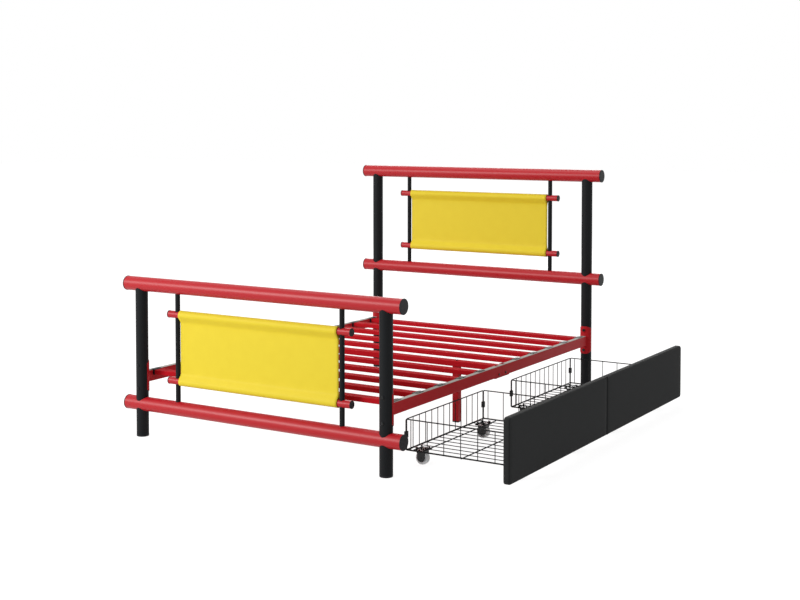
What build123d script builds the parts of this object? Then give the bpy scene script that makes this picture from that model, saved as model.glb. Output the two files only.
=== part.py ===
from build123d import *
import os

# A full-size steel-tube bed for a child's room, in millimetres. +X is the side that the drawers
# come out of, +Y the headboard, +Z up. The drawers are drawn pulled out. Every piece is drawn
# about the middle of the bed on the floor, and is written with the origin moved along X to the
# middle of the whole footprint, drawers included.

# The mattress that the bed holds, and how it sits between the posts
mattress_length = 1905.0
mattress_width = 1372.0
mattress_end_clearance = 12.0
mattress_side_overhang = 33.0

# Thick round tubes of the two boards
post_diameter = 56.0
post_wall = 1.5
board_rail_diameter = 64.0
board_rail_wall = 1.5
board_rail_overhang = 85.0
foot_lower_rail_height = 148.0
head_lower_rail_height = 594.0
board_rail_spacing = 544.0
weld_gap = 0.1

# Slim tubes that hold the fabric panels
spindle_diameter = 22.0
spindle_wall = 1.2
spindle_inset = 213.0
sling_tube_diameter = 32.0
sling_tube_wall = 1.5
sling_tube_overhang = 50.0
sling_tube_spacing = 297.0
fabric_thickness = 2.0
fabric_side_gap = 17.0
fabric_pocket_clearance = 0.3

# Plastic plugs in the tube ends
rail_cap_thickness = 4.0
rail_cap_lip = 1.0
rail_cap_plug = 18.0
rail_cap_edge_round = 1.5
sling_cap_thickness = 4.0
sling_cap_lip = 0.8
sling_cap_plug = 12.0
sling_cap_edge_round = 1.2
plug_clearance = 0.1
post_glide_height = 8.0
post_glide_round = 3.0
post_glide_plug = 20.0
leg_glide_height = 6.0
leg_glide_round = 1.5
leg_glide_plug = 15.0

# Side rails, their splice at mid-length and the saddle brackets on the posts
side_rail_width = 25.0
side_rail_depth = 50.0
side_rail_top = 293.0
side_rail_wall = 1.5
side_rail_corner = 3.0
side_rail_joint_gap = 0.6
tape_thickness = 1.0
tape_side_margin = 1.0
splice_length = 142.0
splice_plate = 2.5
splice_bolt_pitch = 66.0
splice_bolt_drop = 37.0
splice_tab_width = 18.0
splice_tab_reach = 15.0
splice_tab_thickness = 2.0
splice_tab_pitch = 62.0
bracket_thickness = 3.0
bracket_width = 59.0
bracket_height = 144.0
bracket_corner = 18.0
bracket_above_rail_centre = 5.0
bracket_bolt_pitch = 105.0

# Slats, the deeper crossbar between the splices, and its two legs
slat_pairs = 5
last_slat_to_post = 82.5
slat_width = 50.0
slat_depth = 20.0
slat_wall = 1.2
slat_corner = 2.5
slat_clip_grip = 10.0
slat_clip_web = 3.0
slat_clip_wall = 1.6
slat_clip_hook = 17.0
slat_clip_hook_thickness = 2.0
slat_clip_peg_diameter = 10.0
slat_clip_peg_length = 6.0
slat_clip_clearance = 0.1
crossbar_width = 50.0
crossbar_depth = 25.0
crossbar_wall = 1.5
crossbar_corner = 3.0
leg_width = 32.0
leg_wall = 1.5
leg_top_plate = 3.0
leg_corner = 2.5
leg_inset = 229.0

# Bolts with button heads, and their nuts
post_bolt_diameter = 8.0
post_bolt_head_diameter = 12.0
post_bolt_head_height = 4.0
post_nut_width = 13.0
post_nut_height = 6.5
splice_bolt_diameter = 6.0
splice_bolt_head_diameter = 11.0
splice_bolt_head_height = 3.3
splice_nut_width = 10.0
splice_nut_height = 5.0
tab_screw_diameter = 5.0
tab_screw_head_diameter = 9.5
tab_screw_head_height = 2.8
tab_screw_length = 14.0
head_edge_round = 1.6
bolt_hole_clearance = 0.3
bolt_tail = 2.0

# Padded drawer fronts
drawer_front_end_clearance = 2.0
drawer_front_height = 261.5
drawer_front_bottom = 32.0
drawer_front_thickness = 25.0
drawer_front_corner = 16.0
drawer_front_edge_round = 8.0
drawer_fronts_gap = 4.0
front_board_thickness = 12.0
front_board_margin = 6.0
front_board_clearance = 0.3
drawer_left_under_bed = 27.0

# Wire baskets of the drawers
basket_depth = 520.0
basket_end_inset = 135.0
basket_wire_height = 70.0
basket_wall_height = 128.0
basket_front_gap = 4.0
frame_wire_diameter = 5.0
frame_wire_corner = 6.0
fill_wire_diameter = 3.5
wire_gap = 0.3
long_wall_fill_wires = 12
short_wall_fill_wires = 7
short_wall_end_gap = 23.5
floor_cross_wires = 12
floor_supports = 3
floor_support_end_gap = 60.0
floor_wire_embed = 0.4

# Plastic clips of the basket
corner_clip_height = 26.0
corner_clip_thickness = 12.0
corner_clip_margin = 4.0
front_clip_width = 26.0
front_clip_height = 16.0
front_clip_steps = 4
clip_bore_clearance = 0.1
clip_edge_round = 2.5

# Fixed castors under the basket corners
wheel_diameter = 56.0
wheel_width = 26.0
wheel_edge_round = 4.0
wheel_dish_depth = 2.0
wheel_dish_inner_diameter = 18.0
wheel_dish_outer_diameter = 42.0
wheel_side_clearance = 0.4
axle_diameter = 6.0
axle_running_clearance = 0.08
axle_end = 1.5
caster_inset_from_back = 41.0
caster_inset_from_side = 74.0
caster_plate_depth = 56.0
caster_plate_length = 80.0
caster_plate_corner = 12.0
caster_plate_thickness = 2.5
caster_cheek_width = 36.0
caster_cheek_thickness = 3.0
caster_cheek_bottom = 11.0
caster_hood_width = 41.0
caster_hood_depth = 14.0
caster_hood_clearance = 1.5
caster_boss_diameter = 7.0
caster_boss_spacing_x = 36.0
caster_boss_spacing_y = 44.0
caster_boss_head_diameter = 12.0
caster_wire_gap = 0.2

# Places that follow from the sizes above
post_x = mattress_width / 2 - mattress_side_overhang
post_y = mattress_length / 2 + mattress_end_clearance + post_diameter / 2
board_rail_end = post_x + board_rail_overhang
spindle_x = post_x - spindle_inset
sling_tube_end = spindle_x + sling_tube_overhang
sling_offset = (board_rail_spacing - sling_tube_spacing) / 2
sling_heights = [sling_offset, sling_offset + sling_tube_spacing]
rail_inner_x = post_x - side_rail_width / 2
rail_outer_x = post_x + side_rail_width / 2
rail_bottom = side_rail_top - side_rail_depth
rail_middle_height = side_rail_top - side_rail_depth / 2
tape_top = side_rail_top + tape_thickness
bracket_inner_radius = post_diameter / 2 + weld_gap
bracket_outer_radius = bracket_inner_radius + bracket_thickness
bracket_middle_height = rail_middle_height + bracket_above_rail_centre
bracket_bolt_heights = [bracket_middle_height + way * bracket_bolt_pitch / 2 for way in (-1, 1)]
splice_inner_x = rail_inner_x - splice_plate
splice_bolt_height = side_rail_top - splice_bolt_drop
tab_top = tape_top + splice_tab_thickness
tab_screw_x = rail_inner_x + splice_tab_reach / 2
leg_x = post_x - leg_inset
leg_top = side_rail_top - crossbar_depth
slat_middle_height = side_rail_top - slat_depth / 2
slat_pitch = (post_y - last_slat_to_post) / slat_pairs
slat_places = [slat_pitch * step for step in range(-slat_pairs, slat_pairs + 1) if step != 0]

drawer_front_end = post_y - board_rail_diameter / 2 - rail_cap_lip - drawer_front_end_clearance
drawer_front_width = drawer_front_end - drawer_fronts_gap / 2
drawer_middle = (drawer_front_end + drawer_fronts_gap / 2) / 2
basket_length = drawer_front_width - 2 * basket_end_inset
basket_back_x = rail_outer_x - drawer_left_under_bed
basket_front_x = basket_back_x + basket_depth
basket_middle_x = (basket_front_x + basket_back_x) / 2
front_inner_x = basket_front_x + basket_front_gap
front_outer_x = front_inner_x + drawer_front_thickness
wire_radius = frame_wire_diameter / 2
corner_wire_step = frame_wire_diameter + wire_gap
long_wall_width = basket_length - frame_wire_diameter - 2 * corner_wire_step
short_wall_width = basket_depth - frame_wire_diameter
fill_wire_pitch = long_wall_width / (long_wall_fill_wires + 1)
support_drop = wire_radius + fill_wire_diameter / 2 - floor_wire_embed
caster_plate_top = basket_wire_height - support_drop - wire_radius - caster_wire_gap
caster_plate_bottom = caster_plate_top - caster_plate_thickness
peg_head_bottom = basket_wire_height + fill_wire_diameter / 2 + caster_wire_gap
axle_height = wheel_diameter / 2
cheek_inner = wheel_width / 2 + wheel_side_clearance
cheek_outer = cheek_inner + caster_cheek_thickness
footprint_middle_x = (front_outer_x - board_rail_end) / 2

RISING = (Align.CENTER, Align.CENTER, Align.MIN)


# Shapes that many pieces use


def rod(diameter, start, end):
    """Solid round bar between two points."""
    way = Vector(*end) - Vector(*start)
    return Plane(origin=start, z_dir=way) * Cylinder(diameter / 2, way.length, align=RISING)


def tube(diameter, wall, start, end):
    """Round tube between two points."""
    return rod(diameter, start, end) - rod(diameter - 2 * wall, start, end)


def block(low, high):
    """Box between two opposite corners."""
    size = [b - a for a, b in zip(low, high)]
    middle = [(a + b) / 2 for a, b in zip(low, high)]
    return Pos(*middle) * Box(*size)


def box_tube(plane, width, depth, wall, corner, length):
    """Rectangular tube with rounded edges: width and depth lie along the plane's x and y."""
    outside = extrude(plane * RectangleRounded(width, depth, corner), length)
    inside = extrude(plane * RectangleRounded(width - 2 * wall, depth - 2 * wall, corner - wall), length)
    return outside - inside


def mirrored(shape, side, end=1):
    """Copy, for another side or end of the bed, of a piece drawn on the right and at the head."""
    if side < 0:
        shape = mirror(shape, about=Plane.YZ)
    if end < 0:
        shape = mirror(shape, about=Plane.XZ)
    return shape


def side_copies(shape):
    return [mirrored(shape, side) for side in (-1, 1)]


def corner_copies(shape):
    return [mirrored(shape, side, end) for side in (-1, 1) for end in (-1, 1)]


def even_places(length, count):
    """Places that share a length evenly, about its middle, with none at its ends."""
    return [length * (step + 1) / (count + 1) - length / 2 for step in range(count)]


def spread_places(length, count, end_gap):
    """Places from one end gap to the other, about the middle of a length."""
    reach = length / 2 - end_gap
    return [2 * reach * step / (count - 1) - reach for step in range(count)]


def write(node, *shapes):
    """Writes the solids of one node to its own file, about the middle of the footprint."""
    solids = [Pos(-footprint_middle_x, 0, 0) * solid for shape in shapes for solid in shape.solids()]
    export_step(solids[0] if len(solids) == 1 else Compound(solids), f"parts/{node}.step")


# Head and foot boards: each is drawn over the bed's middle, from its lower rail's height up


def board_rail():
    half = board_rail_end - rail_cap_thickness
    return tube(board_rail_diameter, board_rail_wall, (-half, 0, 0), (half, 0, 0))


def rail_cope(height):
    """What a thick rail takes out of a tube that is welded to it."""
    return rod(board_rail_diameter + 2 * weld_gap, (-board_rail_end, 0, height), (board_rail_end, 0, height))


def post_bolt_hole(height):
    hole = post_bolt_diameter + 2 * bolt_hole_clearance
    return rod(hole, (post_x, -post_diameter, height), (post_x, post_diameter, height))


def right_post(lower_height):
    """Post in two lengths, coped round the lower rail and under the top rail. Its heights are the bed's."""
    top = lower_height + board_rail_spacing
    solid = tube(post_diameter, post_wall, (post_x, 0, post_glide_height), (post_x, 0, top))
    solid -= [rail_cope(height) for height in (lower_height, top)]
    return solid - [post_bolt_hole(height) for height in bracket_bolt_heights]


def right_spindle():
    solid = tube(spindle_diameter, spindle_wall, (spindle_x, 0, 0), (spindle_x, 0, board_rail_spacing))
    return solid - [rail_cope(height) for height in (0, board_rail_spacing)]


def sling_tube():
    """Slim tube, drilled for the two spindles that pass through it."""
    half = sling_tube_end - sling_cap_thickness
    solid = tube(sling_tube_diameter, sling_tube_wall, (-half, 0, 0), (half, 0, 0))
    hole = spindle_diameter + 2 * weld_gap
    reach = sling_tube_diameter
    return solid - [rod(hole, (x, 0, -reach), (x, 0, reach)) for x in (-spindle_x, spindle_x)]


def fabric_panel():
    """One cloth with a pocket round each sling tube."""
    half = spindle_x - fabric_side_gap
    thin = fabric_thickness / 2
    pocket = sling_tube_diameter + 2 * fabric_pocket_clearance
    outside = pocket + 2 * fabric_thickness
    solid = block((-half, -thin, sling_heights[0]), (half, thin, sling_heights[1]))
    solid += [rod(outside, (-half, 0, height), (half, 0, height)) for height in sling_heights]
    return solid - [rod(pocket, (-half, 0, height), (half, 0, height)) for height in sling_heights]


def write_boards():
    rail, spindle, sling, fabric = board_rail(), right_spindle(), sling_tube(), fabric_panel()
    for board, y, lower_height in (
        ("headboard", post_y, head_lower_rail_height),
        ("footboard", -post_y, foot_lower_rail_height),
    ):
        place = Pos(0, y, lower_height)
        left, right = side_copies(Pos(0, y, 0) * right_post(lower_height))
        write(f"{board}_top_rail", place * Pos(0, 0, board_rail_spacing) * rail)
        write(f"{board}_lower_rail", place * rail)
        write(f"{board}_left_post", left)
        write(f"{board}_right_post", right)
        write(f"{board}_spindles", *[place * copy for copy in side_copies(spindle)])
        write(f"{board}_sling_tubes", *[place * Pos(0, 0, height) * sling for height in sling_heights])
        write(f"{board}_fabric_panel", place * fabric)


# Plugs and glides


def end_cap(diameter, wall, thickness, lip, plug, edge_round):
    """Cap for a round tube's end: its head rises from z 0 and its plug reaches down into the tube."""
    head = Cylinder(diameter / 2 + lip, thickness, align=RISING)
    head = fillet(head.edges().group_by(Axis.Z)[-1], edge_round)
    return head + rod(diameter - 2 * wall - 2 * plug_clearance, (0, 0, -plug), (0, 0, 0))


def caps_on_both_boards(cap, end, heights_on_board):
    """Copies of a cap on the right and left ends of every tube at these heights on both boards."""
    caps = []
    for y, lower_height in ((post_y, head_lower_rail_height), (-post_y, foot_lower_rail_height)):
        for height in heights_on_board:
            right = Plane(origin=(end, y, lower_height + height), z_dir=(1, 0, 0)) * cap
            caps += side_copies(right)
    return caps


def rail_end_caps():
    cap = end_cap(
        board_rail_diameter, board_rail_wall, rail_cap_thickness, rail_cap_lip, rail_cap_plug, rail_cap_edge_round
    )
    return caps_on_both_boards(cap, board_rail_end - rail_cap_thickness, [0, board_rail_spacing])


def sling_tube_caps():
    cap = end_cap(
        sling_tube_diameter, sling_tube_wall, sling_cap_thickness, sling_cap_lip, sling_cap_plug, sling_cap_edge_round
    )
    return caps_on_both_boards(cap, sling_tube_end - sling_cap_thickness, sling_heights)


def post_glide():
    """Round foot, plugged into a post from below."""
    foot = Cylinder(post_diameter / 2, post_glide_height, align=RISING)
    foot = fillet(foot.edges().group_by(Axis.Z)[0], post_glide_round)
    inside = post_diameter - 2 * post_wall - 2 * plug_clearance
    foot += rod(inside, (0, 0, post_glide_height), (0, 0, post_glide_height + post_glide_plug))
    return Pos(post_x, post_y, 0) * foot


def leg_glide():
    """Square foot, plugged into a middle leg from below."""
    foot = extrude(RectangleRounded(leg_width, leg_width, leg_corner), leg_glide_height)
    foot = fillet(foot.edges().group_by(Axis.Z)[0], leg_glide_round)
    inside = leg_width - 2 * leg_wall - 2 * plug_clearance
    outline = RectangleRounded(inside, inside, leg_corner - leg_wall)
    return Pos(leg_x, 0, 0) * (foot + extrude(Plane.XY.offset(leg_glide_height) * outline, leg_glide_plug))


# Side rails and what joins them


def post_cope():
    """What the saddle bracket takes out of the rail's end."""
    radius = bracket_outer_radius + weld_gap
    return rod(2 * radius, (post_x, post_y, rail_bottom - side_rail_depth), (post_x, post_y, tab_top))


def splice_bolt_hole():
    hole = splice_bolt_diameter + 2 * bolt_hole_clearance
    y = splice_bolt_pitch / 2
    return rod(hole, (splice_inner_x - 1, y, splice_bolt_height), (rail_outer_x + 1, y, splice_bolt_height))


def tab_screw_hole():
    hole = tab_screw_diameter + 2 * bolt_hole_clearance
    y = splice_tab_pitch / 2
    return rod(hole, (tab_screw_x, y, side_rail_top - 2 * side_rail_wall), (tab_screw_x, y, tab_top + 1))


def side_rail_half():
    """Half of a side rail, from the splice to the post, drilled for slat pegs, a bolt and a screw."""
    start = Plane(origin=(post_x, side_rail_joint_gap / 2, rail_middle_height), x_dir=(1, 0, 0), z_dir=(0, 1, 0))
    solid = box_tube(start, side_rail_width, side_rail_depth, side_rail_wall, side_rail_corner, post_y)
    hole = slat_clip_peg_diameter + 2 * slat_clip_clearance
    past = 2 * side_rail_wall
    peg_holes = [
        rod(hole, (rail_inner_x - past, y, slat_middle_height), (rail_inner_x + past, y, slat_middle_height))
        for y in slat_places
        if y > 0
    ]
    return solid - [post_cope(), splice_bolt_hole(), tab_screw_hole()] - peg_holes


def rail_tape():
    """Thin pale tape on top of a half rail, so that nothing rattles on the steel."""
    half = side_rail_width / 2 - tape_side_margin
    low = (post_x - half, side_rail_joint_gap / 2, side_rail_top)
    return block(low, (post_x + half, post_y, tape_top)) - [post_cope(), tab_screw_hole()]


def splice_channel():
    """Plate under a rail's joint with an upright on the inside and two tabs folded over the rail."""
    half = splice_length / 2
    bottom = rail_bottom - splice_plate
    solid = block((splice_inner_x, -half, bottom), (rail_outer_x, half, rail_bottom))
    solid += block((splice_inner_x, -half, bottom), (rail_inner_x, half, leg_top + crossbar_depth / 2))
    low = (splice_tab_pitch - splice_tab_width) / 2
    high = low + splice_tab_width
    upright = block((splice_inner_x, low, bottom), (rail_inner_x, high, tab_top))
    tab = block((splice_inner_x, low, tape_top), (rail_inner_x + splice_tab_reach, high, tab_top))
    solid += [upright, tab, mirrored(upright, 1, -1), mirrored(tab, 1, -1)]
    holes = [splice_bolt_hole(), tab_screw_hole()]
    return solid - holes - [mirrored(hole, 1, -1) for hole in holes]


def corner_bracket():
    """Curved plate that hugs a post on the side of the bed's middle."""
    low = bracket_middle_height - bracket_height / 2
    start, stop = (post_x, 0, low), (post_x, 0, low + bracket_height)
    solid = rod(2 * bracket_outer_radius, start, stop) - rod(2 * bracket_inner_radius, start, stop)
    front = Plane(origin=(post_x, 0, bracket_middle_height), x_dir=(1, 0, 0), z_dir=(0, -1, 0))
    solid &= extrude(front * RectangleRounded(bracket_width, bracket_height, bracket_corner), post_diameter)
    return Pos(0, post_y, 0) * (solid - [post_bolt_hole(height) for height in bracket_bolt_heights])


# Slatted platform


def slat():
    half = rail_inner_x - slat_clip_web
    start = Plane(origin=(-half, 0, slat_middle_height), x_dir=(0, 1, 0), z_dir=(1, 0, 0))
    return box_tube(start, slat_width, slat_depth, slat_wall, slat_corner, 2 * half)


def slat_clip():
    """Cap on a slat's end, with a hook over the rail's top and a peg into its side."""
    start_x = rail_inner_x - slat_clip_grip
    web_x = rail_inner_x - slat_clip_web
    half = slat_width / 2 + slat_clip_wall
    bottom = side_rail_top - slat_depth - slat_clip_wall
    hook_top = tape_top + slat_clip_hook_thickness
    cap = block((start_x, -half, bottom), (rail_inner_x, half, side_rail_top + slat_clip_wall))
    web = block((web_x, -half, bottom), (rail_inner_x, half, hook_top))
    hook = block((web_x, -half, tape_top), (rail_inner_x + slat_clip_hook, half, hook_top))
    peg_end = (rail_inner_x + slat_clip_peg_length, 0, slat_middle_height)
    peg = rod(slat_clip_peg_diameter, (rail_inner_x, 0, slat_middle_height), peg_end)
    mouth = Plane(origin=(start_x, 0, slat_middle_height), x_dir=(0, 1, 0), z_dir=(1, 0, 0))
    width, depth = slat_width + 2 * slat_clip_clearance, slat_depth + 2 * slat_clip_clearance
    pocket = extrude(mouth * RectangleRounded(width, depth, slat_corner), slat_clip_grip - slat_clip_web)
    return cap + [web, hook, peg] - pocket


def leg_bolt_hole():
    hole = post_bolt_diameter + 2 * bolt_hole_clearance
    return rod(hole, (leg_x, 0, leg_top - 2 * leg_top_plate), (leg_x, 0, side_rail_top + 1))


def centre_crossbar():
    start = Plane(origin=(-splice_inner_x, 0, leg_top + crossbar_depth / 2), x_dir=(0, 1, 0), z_dir=(1, 0, 0))
    solid = box_tube(start, crossbar_width, crossbar_depth, crossbar_wall, crossbar_corner, 2 * splice_inner_x)
    return solid - side_copies(leg_bolt_hole())


def support_leg():
    """Square tube with a welded top plate that the leg bolt draws up to the crossbar."""
    start = Plane(origin=(leg_x, 0, leg_glide_height))
    solid = box_tube(start, leg_width, leg_width, leg_wall, leg_corner, leg_top - leg_glide_height)
    half = leg_width / 2 - leg_wall / 2
    solid += block((leg_x - half, -half, leg_top - leg_top_plate), (leg_x + half, half, leg_top))
    return solid - leg_bolt_hole()


# Bolts of the frame


def bolt(diameter, head_diameter, head_height, length):
    """Button-head bolt that points down from z 0, with its head above."""
    head = Cylinder(head_diameter / 2, head_height, align=RISING)
    head = fillet(head.edges().group_by(Axis.Z)[-1], head_edge_round)
    return head + rod(diameter, (0, 0, -length), (0, 0, 0))


def nut(width, height, diameter):
    """Hexagon nut that hangs down from z 0."""
    hexagon = extrude(RegularPolygon(width / 2, 6, major_radius=False), -height)
    return hexagon - rod(diameter + 2 * weld_gap, (0, 0, -height), (0, 0, 0))


def large_bolt_and_nut(seat, grip):
    """Bolt with its head on a seat plane, and its nut on the far side of what the two clamp."""
    shank = grip + post_nut_height + bolt_tail
    fastener = bolt(post_bolt_diameter, post_bolt_head_diameter, post_bolt_head_height, shank)
    return [seat * fastener, seat * Pos(0, 0, -grip) * nut(post_nut_width, post_nut_height, post_bolt_diameter)]


def post_bolts():
    """The two bolts through a post and its bracket."""
    pieces = []
    for height in bracket_bolt_heights:
        seat = Plane(origin=(post_x, post_y + post_diameter / 2, height), z_dir=(0, 1, 0))
        pieces += large_bolt_and_nut(seat, post_diameter / 2 + bracket_outer_radius)
    return pieces


def splice_fasteners():
    """Bolt through a half rail and the splice's upright, and screw through its tab."""
    shank = side_rail_width + splice_plate + splice_nut_height + bolt_tail
    through = bolt(splice_bolt_diameter, splice_bolt_head_diameter, splice_bolt_head_height, shank)
    seat = Plane(origin=(rail_outer_x, splice_bolt_pitch / 2, splice_bolt_height), z_dir=(1, 0, 0))
    back = Pos(0, 0, -side_rail_width - splice_plate)
    screw = bolt(tab_screw_diameter, tab_screw_head_diameter, tab_screw_head_height, tab_screw_length)
    return [
        seat * through,
        seat * back * nut(splice_nut_width, splice_nut_height, splice_bolt_diameter),
        Pos(tab_screw_x, splice_tab_pitch / 2, tab_top) * screw,
    ]


def frame_bolts():
    corner = post_bolts() + splice_fasteners()
    leg = large_bolt_and_nut(Plane(origin=(leg_x, 0, side_rail_top)), crossbar_depth + leg_top_plate)
    return [copy for piece in corner for copy in corner_copies(piece)] + [
        copy for piece in leg for copy in side_copies(piece)
    ]


def write_platform():
    half_rail = side_rail_half()
    for side_name, side in (("left", -1), ("right", 1)):
        for end_name, end in (("foot", -1), ("head", 1)):
            write(f"{side_name}_side_rail_{end_name}_half", mirrored(half_rail, side, end))
    write("rail_top_tapes", *corner_copies(rail_tape()))
    write("rail_splice_channels", *side_copies(splice_channel()))
    write("corner_brackets", *corner_copies(corner_bracket()))
    one_slat = slat()
    for number, y in enumerate(slat_places, start=1):
        write(f"slat_{number:02d}", Pos(0, y, 0) * one_slat)
    clips = side_copies(slat_clip())
    write("slat_end_clips", *[Pos(0, y, 0) * clip for y in slat_places for clip in clips])
    write("centre_crossbar", centre_crossbar())
    write("centre_support_legs", *side_copies(support_leg()))
    write("foot_glides", *corner_copies(post_glide()), *side_copies(leg_glide()))
    write("rail_end_caps", *rail_end_caps())
    write("sling_tube_caps", *sling_tube_caps())
    write("frame_bolts", *frame_bolts())


# Drawers: each piece is drawn about the middle of its own drawer


def front_outline(margin):
    """Outline of the head-side front: round corners at its outer end, square ones where the fronts meet."""
    width, height = drawer_front_width - 2 * margin, drawer_front_height - 2 * margin
    rounded = RectangleRounded(width, height, drawer_front_corner - margin)
    return rounded + Pos(-width / 4, 0) * Rectangle(width / 2, height)


def front_plane():
    """Plane on the inner face of a drawer front, looking out of the bed."""
    height = drawer_front_bottom + drawer_front_height / 2
    return Plane(origin=(front_inner_x, 0, height), x_dir=(0, 1, 0), z_dir=(1, 0, 0))


def front_cover():
    """Padded cover, hollow behind for the board."""
    solid = extrude(front_plane() * front_outline(0), drawer_front_thickness)
    solid = fillet(solid.edges().group_by(Axis.X)[-1], drawer_front_edge_round)
    return solid - extrude(front_plane() * front_outline(front_board_margin), front_board_thickness)


def front_board():
    outline = front_outline(front_board_margin + front_board_clearance)
    return extrude(front_plane() * outline, front_board_thickness - front_board_clearance)


def wire_mesh(width, height, upright_places, cross_places=()):
    """Welded wire panel in its own plane, from the middle of its lowest wire up: a bent frame wire,
    thin wires up across it, and thick wires along it on its underside."""
    path = (Pos(0, height / 2) * RectangleRounded(width, height, frame_wire_corner)).wire()
    frame_wire = sweep(Plane(origin=path @ 0, z_dir=path % 0) * Circle(wire_radius), path=path)
    uprights = [rod(fill_wire_diameter, (place, 0, 0), (place, height, 0)) for place in upright_places]
    reach = width / 2 + wire_radius / 2
    crosses = [
        rod(frame_wire_diameter, (-reach, place, -support_drop), (reach, place, -support_drop))
        for place in cross_places
    ]
    return frame_wire + uprights + crosses


def basket_long_walls():
    """Back and front walls, between the side walls."""
    mesh = wire_mesh(long_wall_width, basket_wall_height, even_places(long_wall_width, long_wall_fill_wires))
    return [
        Plane(origin=(x, 0, basket_wire_height), x_dir=(0, 1, 0), z_dir=(1, 0, 0)) * mesh
        for x in (basket_back_x + wire_radius, basket_front_x - wire_radius)
    ]


def basket_short_walls():
    places = spread_places(short_wall_width, short_wall_fill_wires, short_wall_end_gap)
    mesh = wire_mesh(short_wall_width, basket_wall_height, places)
    y = basket_length / 2 - wire_radius
    return [
        Plane(origin=(basket_middle_x, y * end, basket_wire_height), x_dir=(-1, 0, 0), z_dir=(0, 1, 0)) * mesh
        for end in (-1, 1)
    ]


def basket_floor():
    """Floor mesh inside the walls' lowest wires, with thick support wires under its thin ones."""
    length = long_wall_width
    depth = short_wall_width - 2 * corner_wire_step
    supports = [depth / 2 + place for place in spread_places(depth, floor_supports, floor_support_end_gap)]
    mesh = wire_mesh(length, depth, even_places(length, floor_cross_wires), supports)
    front = basket_middle_x + depth / 2
    return Plane(origin=(front, 0, basket_wire_height), x_dir=(0, 1, 0), z_dir=(0, 0, 1)) * mesh


def corner_clip(x):
    """Clip round the two upright wires that meet at a basket corner, on the head side."""
    y = basket_length / 2 - wire_radius
    length = corner_wire_step + frame_wire_diameter + 2 * corner_clip_margin
    height = basket_wire_height + basket_wall_height / 2
    body = Pos(x, y - corner_wire_step / 2, height) * Box(corner_clip_thickness, length, corner_clip_height)
    body = fillet(body.edges().filter_by(Axis.Z), clip_edge_round)
    bore = frame_wire_diameter + 2 * clip_bore_clearance
    low, high = height - corner_clip_height, height + corner_clip_height
    return body - [rod(bore, (x, place, low), (x, place, high)) for place in (y, y - corner_wire_step)]


def front_clip(height, wires):
    """Block on the board that grips frame wires of the basket, on the head side, between thin wires."""
    wire_places = [basket_front_x - wire_radius - corner_wire_step * step for step in range(wires)]
    inner = wire_places[-1] - wire_radius - corner_clip_margin
    y = front_clip_steps * fill_wire_pitch
    half_width, half_height = front_clip_width / 2, front_clip_height / 2
    body = block((inner, y - half_width, height - half_height), (front_inner_x, y + half_width, height + half_height))
    body = fillet(body.edges().group_by(Axis.X)[0], clip_edge_round)
    bore = frame_wire_diameter + 2 * clip_bore_clearance
    low, high = y - front_clip_width, y + front_clip_width
    return body - [rod(bore, (x, low, height), (x, high, height)) for x in wire_places]


def basket_clips():
    """Four corner clips, and four clips that hold the walls, floor and board together at the front."""
    clips = [corner_clip(basket_back_x + wire_radius), corner_clip(basket_front_x - wire_radius)]
    clips += [front_clip(basket_wire_height, 2), front_clip(basket_wire_height + basket_wall_height, 1)]
    return clips + [mirrored(clip, 1, -1) for clip in clips]


def caster_places():
    """Middle of each castor under a basket, back pair first."""
    back, front = basket_back_x + caster_inset_from_back, basket_front_x - caster_inset_from_back
    reach = basket_length / 2 - caster_inset_from_side
    return [(x, y) for x in (back, front) for y in (-reach, reach)]


def caster_plate():
    outline = RectangleRounded(caster_plate_depth, caster_plate_length, caster_plate_corner)
    return extrude(Plane.XY.offset(caster_plate_bottom) * outline, caster_plate_thickness)


def caster_bosses():
    """Four headed pegs that reach up between the floor wires and hold the castor on them."""
    half_x, half_y = caster_boss_spacing_x / 2, caster_boss_spacing_y / 2
    head_bottom, head_top = peg_head_bottom, peg_head_bottom + caster_plate_thickness
    pegs = []
    for x in (-half_x, half_x):
        for y in (-half_y, half_y):
            pegs.append(rod(caster_boss_diameter, (x, y, caster_plate_top), (x, y, head_top)))
            pegs.append(rod(caster_boss_head_diameter, (x, y, head_bottom), (x, y, head_top)))
    return pegs


def caster_cheek():
    """Wall beside the wheel, round at its foot."""
    radius = caster_cheek_width / 2
    round_height = caster_cheek_bottom + radius
    straight = caster_plate_bottom - round_height
    face = Plane(origin=(0, cheek_outer, 0), x_dir=(1, 0, 0), z_dir=(0, -1, 0))
    outline = Pos(0, round_height) * Circle(radius)
    outline += Pos(0, round_height + straight / 2) * Rectangle(caster_cheek_width, straight)
    return extrude(face * outline, caster_cheek_thickness)


def caster_fork():
    """Castor frame: plate under the wires, hood over the wheel and a cheek on each side of it."""
    half = caster_hood_width / 2
    hood = block((-half, -cheek_outer, caster_plate_bottom - caster_hood_depth), (half, cheek_outer, caster_plate_top))
    room = wheel_diameter + 2 * caster_hood_clearance
    hood -= rod(room, (0, -cheek_inner, axle_height), (0, cheek_inner, axle_height))
    cheek = caster_cheek()
    solid = caster_plate() + [hood, cheek, mirrored(cheek, 1, -1)] + caster_bosses()
    hole = axle_diameter + 2 * weld_gap
    return solid - rod(hole, (0, -cheek_outer - 1, axle_height), (0, cheek_outer + 1, axle_height))


def caster_axle():
    reach = cheek_outer + axle_end
    return rod(axle_diameter, (0, -reach, axle_height), (0, reach, axle_height))


def caster_frames():
    """Forks and axles of the four castors."""
    pieces = [caster_fork(), caster_axle()]
    return [Pos(x, y, 0) * piece for x, y in caster_places() for piece in pieces]


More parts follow.
